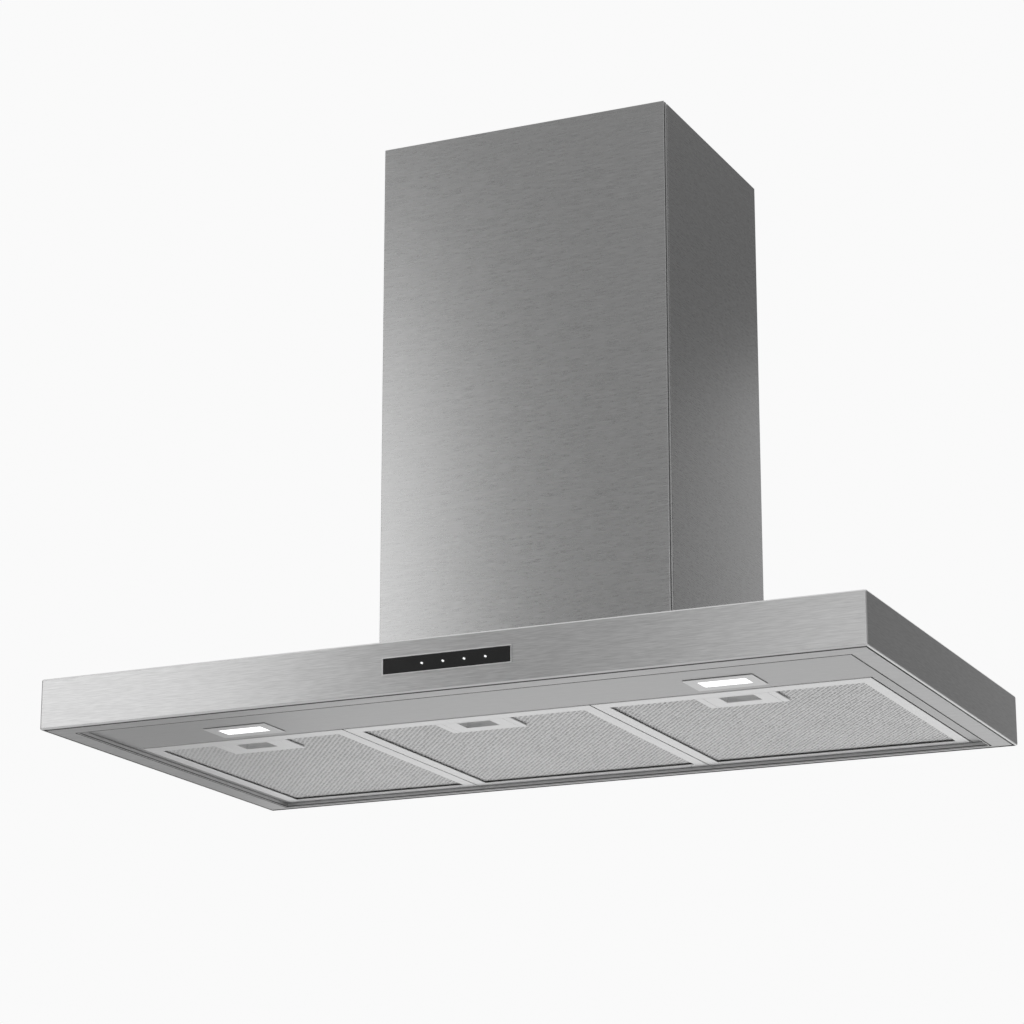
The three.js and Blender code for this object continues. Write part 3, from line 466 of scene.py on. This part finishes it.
def circuit_board(name):
    look = Finish(name)
    place = look.put("SeparateXYZ", {0: look.place}).outputs
    face = look.put("CombineXYZ", {"X": place["X"], "Y": place["Z"]}).outputs[0]
    tracks = look.put("TexBrick", {
        "Vector": look.scaled(face, BOARD_TRACKS),
        "Color1": (0.03, 0.16, 0.08, 1),
        "Color2": (0.04, 0.2, 0.1, 1),
        "Mortar": (0.12, 0.3, 0.16, 1),
        "Scale": 1.0,
    })
    return look.shade(
        Base_Color=tracks.outputs["Color"],
        Roughness=look.remap(look.speckle(4 * MM), 0.3, 0.45),
        Normal=look.bump(tracks.outputs["Fac"], 0.3, 0.1 * MM),
    )


def make_materials():
    return {
        "canopy_steel": brushed_steel("canopy_steel", 0.64, 0.37, 0.17, grooved="canopy_shell"),
        "ceiling_steel": brushed_steel("ceiling_steel", 0.6, 0.36, 0.08),
        "chimney_steel": brushed_steel("chimney_steel", 0.6, 0.28, 0.14, stripped="chimney_front"),
        "inner_steel": galvanised("inner_steel", 0.56, 0.38),
        "trim_metal": satin_aluminium("trim_metal", 0.78, 0.38),
        "black_glass": black_glass("black_glass"),
        "indicator_white": lit_white("indicator_white", 0.9, rib_scale=1000.0),
        "lamp_white": lit_white("lamp_white", 1.6, rib_scale=400.0),
        "filter_frame_metal": satin_aluminium("filter_frame_metal", 0.94, 0.4),
        "filter_mesh_metal": expanded_metal("filter_mesh_metal", 0.8, 0.42),
        "zinc": zinc_plate("zinc", 0.6, 0.36),
        "motor_metal": zinc_plate("motor_metal", 0.5, 0.3),
        "black_plastic": moulded_plastic("black_plastic", 0.03, 0.5),
        "grey_plastic": moulded_plastic("grey_plastic", 0.34, 0.5, -0.015),
        "circuit_board": circuit_board("circuit_board"),
    }


# ---------------------------------------------------------------- mesh helpers

# Angles between faces: past which an edge is rounded or shaded sharp, and up to which faces join.
SHARP = math.radians(35)
SMOOTH = math.radians(47)
FLAT = math.radians(1)
# Distances: corners that merge, slivers that go, and how near an outermost edge lies to the box.
MERGE = 0.02 * MM
SLIVER = 0.002 * MM
ON_BOX = 0.001 * MM
# The rounding of every edge, and the steps in it and in the larger bends.
EDGE_RADIUS = 0.3 * MM
EDGE_SEGMENTS = 2
BEND_SEGMENTS = 4
# The slot and the body of each CAD node.
NODE_SLOT = {part["node"]: part["material_slot"] for part in frame["record"]["subparts"]}
NODE_BODY = {node: body for body, nodes in frame["record"]["behaviour"]["bodies"].items() for node in nodes}


def show(name, mesh, slot, body, replaced):
    """Makes a piece of the hood from a finished mesh. It stands for the replaced CAD nodes."""
    piece = bpy.data.objects.new(name, mesh)
    bpy.context.scene.collection.objects.link(piece)
    mesh.materials.append(materials[slot])
    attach(piece, body)
    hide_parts(*replaced)
    return piece


def smooth(mesh):
    mesh.shade_smooth()
    mesh.set_sharp_from_angle(angle=SMOOTH)


def weigh_normals(piece):
    """Keeps large flat faces flat next to their small rounded edges."""
    weighted = piece.modifiers.new("flat_faces", "WEIGHTED_NORMAL")
    weighted.keep_sharp = True


def cad_shape(node):
    """A node's shape with shared corners merged and the triangles of each flat face joined."""
    shape = bmesh.new()
    shape.from_mesh(frame["nodes"][node].data)
    bmesh.ops.remove_doubles(shape, verts=shape.verts, dist=MERGE)
    bmesh.ops.dissolve_limit(shape, angle_limit=FLAT, verts=shape.verts, edges=shape.edges)
    return shape


def round_edges(shape, edges, radius, segments):
    bmesh.ops.bevel(
        shape,
        geom=edges,
        offset=radius,
        offset_type="OFFSET",
        segments=segments,
        profile=0.5,
        affect="EDGES",
        clamp_overlap=True,
    )


def outer_bends(shape, axes):
    """The edges on the outline of the shape's box that run along the given axes."""
    low = [min(corner.co[i] for corner in shape.verts) for i in range(3)]
    high = [max(corner.co[i] for corner in shape.verts) for i in range(3)]
    found = []
    for edge in shape.edges:
        start, end = (corner.co for corner in edge.verts)
        spans = [abs(start[i] - end[i]) for i in range(3)]
        on = [i for i in range(3)
              if spans[i] < ON_BOX and min(abs(start[i] - low[i]), abs(start[i] - high[i])) < ON_BOX]
        runs = "xyz"[spans.index(max(spans))]
        if len(on) >= 2 and runs in axes:
            found.append(edge)
    return found


def corner_edges(shape):
    """The convex edges between faces that turn sharply."""
    return [edge for edge in shape.edges
            if len(edge.link_faces) == 2 and edge.is_convex and edge.calc_face_angle() > SHARP]


def add_refined(node, bend, axes):
    """A CAD node with rounded edges. bend is the larger radius of its outermost edges, or None."""
    shape = cad_shape(node)
    if bend:
        round_edges(shape, outer_bends(shape, axes), bend, BEND_SEGMENTS)
    round_edges(shape, corner_edges(shape), EDGE_RADIUS, EDGE_SEGMENTS)
    bmesh.ops.dissolve_degenerate(shape, dist=SLIVER, edges=shape.edges)
    mesh = bpy.data.meshes.new(f"{node}_fine")
    shape.to_mesh(mesh)
    shape.free()
    smooth(mesh)
    weigh_normals(show(f"{node}_fine", mesh, NODE_SLOT[node], NODE_BODY[node], [node]))


# ---------------------------------------------------------------- expanded metal


def pit(points, faces, rim, centre, step):
    """A diamond pit inside four rim points, with a flat ring of metal round it."""
    start = len(points)
    centre = [at + RNG.uniform(-PIT_STRAY, PIT_STRAY) for at in centre]
    mouth = (1 - STRAND_SHARE) * RNG.uniform(*MOUTH_SPREAD)
    depth = PIT_DEPTH * RNG.uniform(*DEPTH_SPREAD)
    for share, z in ((mouth, MESH_FACE), (PIT_FLOOR_SHARE, MESH_FACE + depth)):
        tilt = RNG.uniform(-PIT_TILT, PIT_TILT)
        for du, dv in ((-1, 0), (0, -1), (1, 0), (0, 1)):
            x, y = centre[0] + du * share * step[0], centre[1] + dv * share * step[1]
            points.append((x, y, z + tilt * dv))
    for side in range(4):
        after = (side + 1) % 4
        faces.append((rim[side], start + side, start + after, rim[after]))
        faces.append((start + side, start + 4 + side, start + 4 + after, start + after))
    faces.append((start + 4, start + 7, start + 6, start + 5))


def diamond_lattice(low, high, keep):
    """Points and faces of a closed sheet. Both its faces are strands round diamond pits."""
    counts = [round((high[i] - low[i]) / STRAND_PITCH[i]) for i in range(2)]
    step = [(high[i] - low[i]) / counts[i] / 2 for i in range(2)]
    points, faces, bonds, border = [], [], {}, set()

    def bond(u, v):
        """A crossing of strands. Its point on the back face follows its point on the front."""
        if (u, v) not in bonds:
            x, y = low[0] + u * step[0], low[1] + v * step[1]
            bonds[u, v] = len(points)
            points.append((x, y, MESH_FACE + RNG.uniform(-STRAND_RISE, STRAND_RISE)))
            points.append((x, y, MESH_BACK))
        return bonds[u, v]

    for u in range(1, 2 * counts[0]):
        for v in range(1, 2 * counts[1]):
            centre = (low[0] + u * step[0], low[1] + v * step[1])
            if (u + v) % 2 or not keep(*centre):
                continue
            rim = [bond(u - 1, v), bond(u, v - 1), bond(u + 1, v), bond(u, v + 1)]
            pit(points, faces, rim, centre, step)
            apex = len(points)
            points.append((*centre, MESH_BACK - BACK_PIT_DEPTH))
            for a, b in zip(rim, rim[1:] + rim[:1]):
                faces.append((a + 1, b + 1, apex))
                if (b, a) in border:
                    border.remove((b, a))
                else:
                    border.add((a, b))
    faces.extend((a, b, b + 1, a + 1) for a, b in sorted(border))
    return points, faces


def add_filter_mesh(index):
    """The expanded metal of one filter, open where the handle's pocket is."""
    low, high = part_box(f"filter_{index}_mesh")
    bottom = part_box(f"filter_{index}_frame")[0].z
    handle_low, handle_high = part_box(f"filter_{index}_handle")
    left, right = handle_low.x + HANDLE_COVER, handle_high.x - HANDLE_COVER
    rear = handle_high.y - HANDLE_COVER

    def keep(x, y):
        return not (left < x < right and y < rear)

    points, faces = diamond_lattice((low.x, low.y), (high.x, high.y), keep)
    name = f"filter_{index}_lattice"
    mesh = bpy.data.meshes.new(name)
    mesh.from_pydata([(x, y, z + bottom) for x, y, z in points], [], faces)
    shape = bmesh.new()
    shape.from_mesh(mesh)
    bmesh.ops.recalc_face_normals(shape, faces=shape.faces)
    shape.to_mesh(mesh)
    shape.free()
    show(name, mesh, "filter_mesh_metal", f"filter_{index}", [f"filter_{index}_mesh"])


# ---------------------------------------------------------------- the hood

# The radius of a sheet's outermost bends, and the axes that they run along.
BENDS = {
    "canopy_shell": (2.2 * MM, "xyz"),
    "chimney_front": (0.9 * MM, "z"),
    "upper_chimney": (0.9 * MM, "z"),
    "housing_cover": (0.5 * MM, "xyz"),
    "motor_housing": (1.2 * MM, "xyz"),
}


def add_refined_nodes():
    for node in sorted(NODE_SLOT):
        if not node.endswith("_mesh"):
            add_refined(node, *BENDS.get(node, (None, "")))


def dress_cad_nodes():
    for node, slot in NODE_SLOT.items():
        mesh = frame["nodes"][node].data
        mesh.materials.clear()
        mesh.materials.append(materials[slot])


add_camera()
add_world()
add_softboxes()
add_floor()
bpy.context.scene.view_settings.view_transform = "Standard"
materials = make_materials()
dress_cad_nodes()
add_refined_nodes()
for number in (1, 2, 3):
    add_filter_mesh(number)
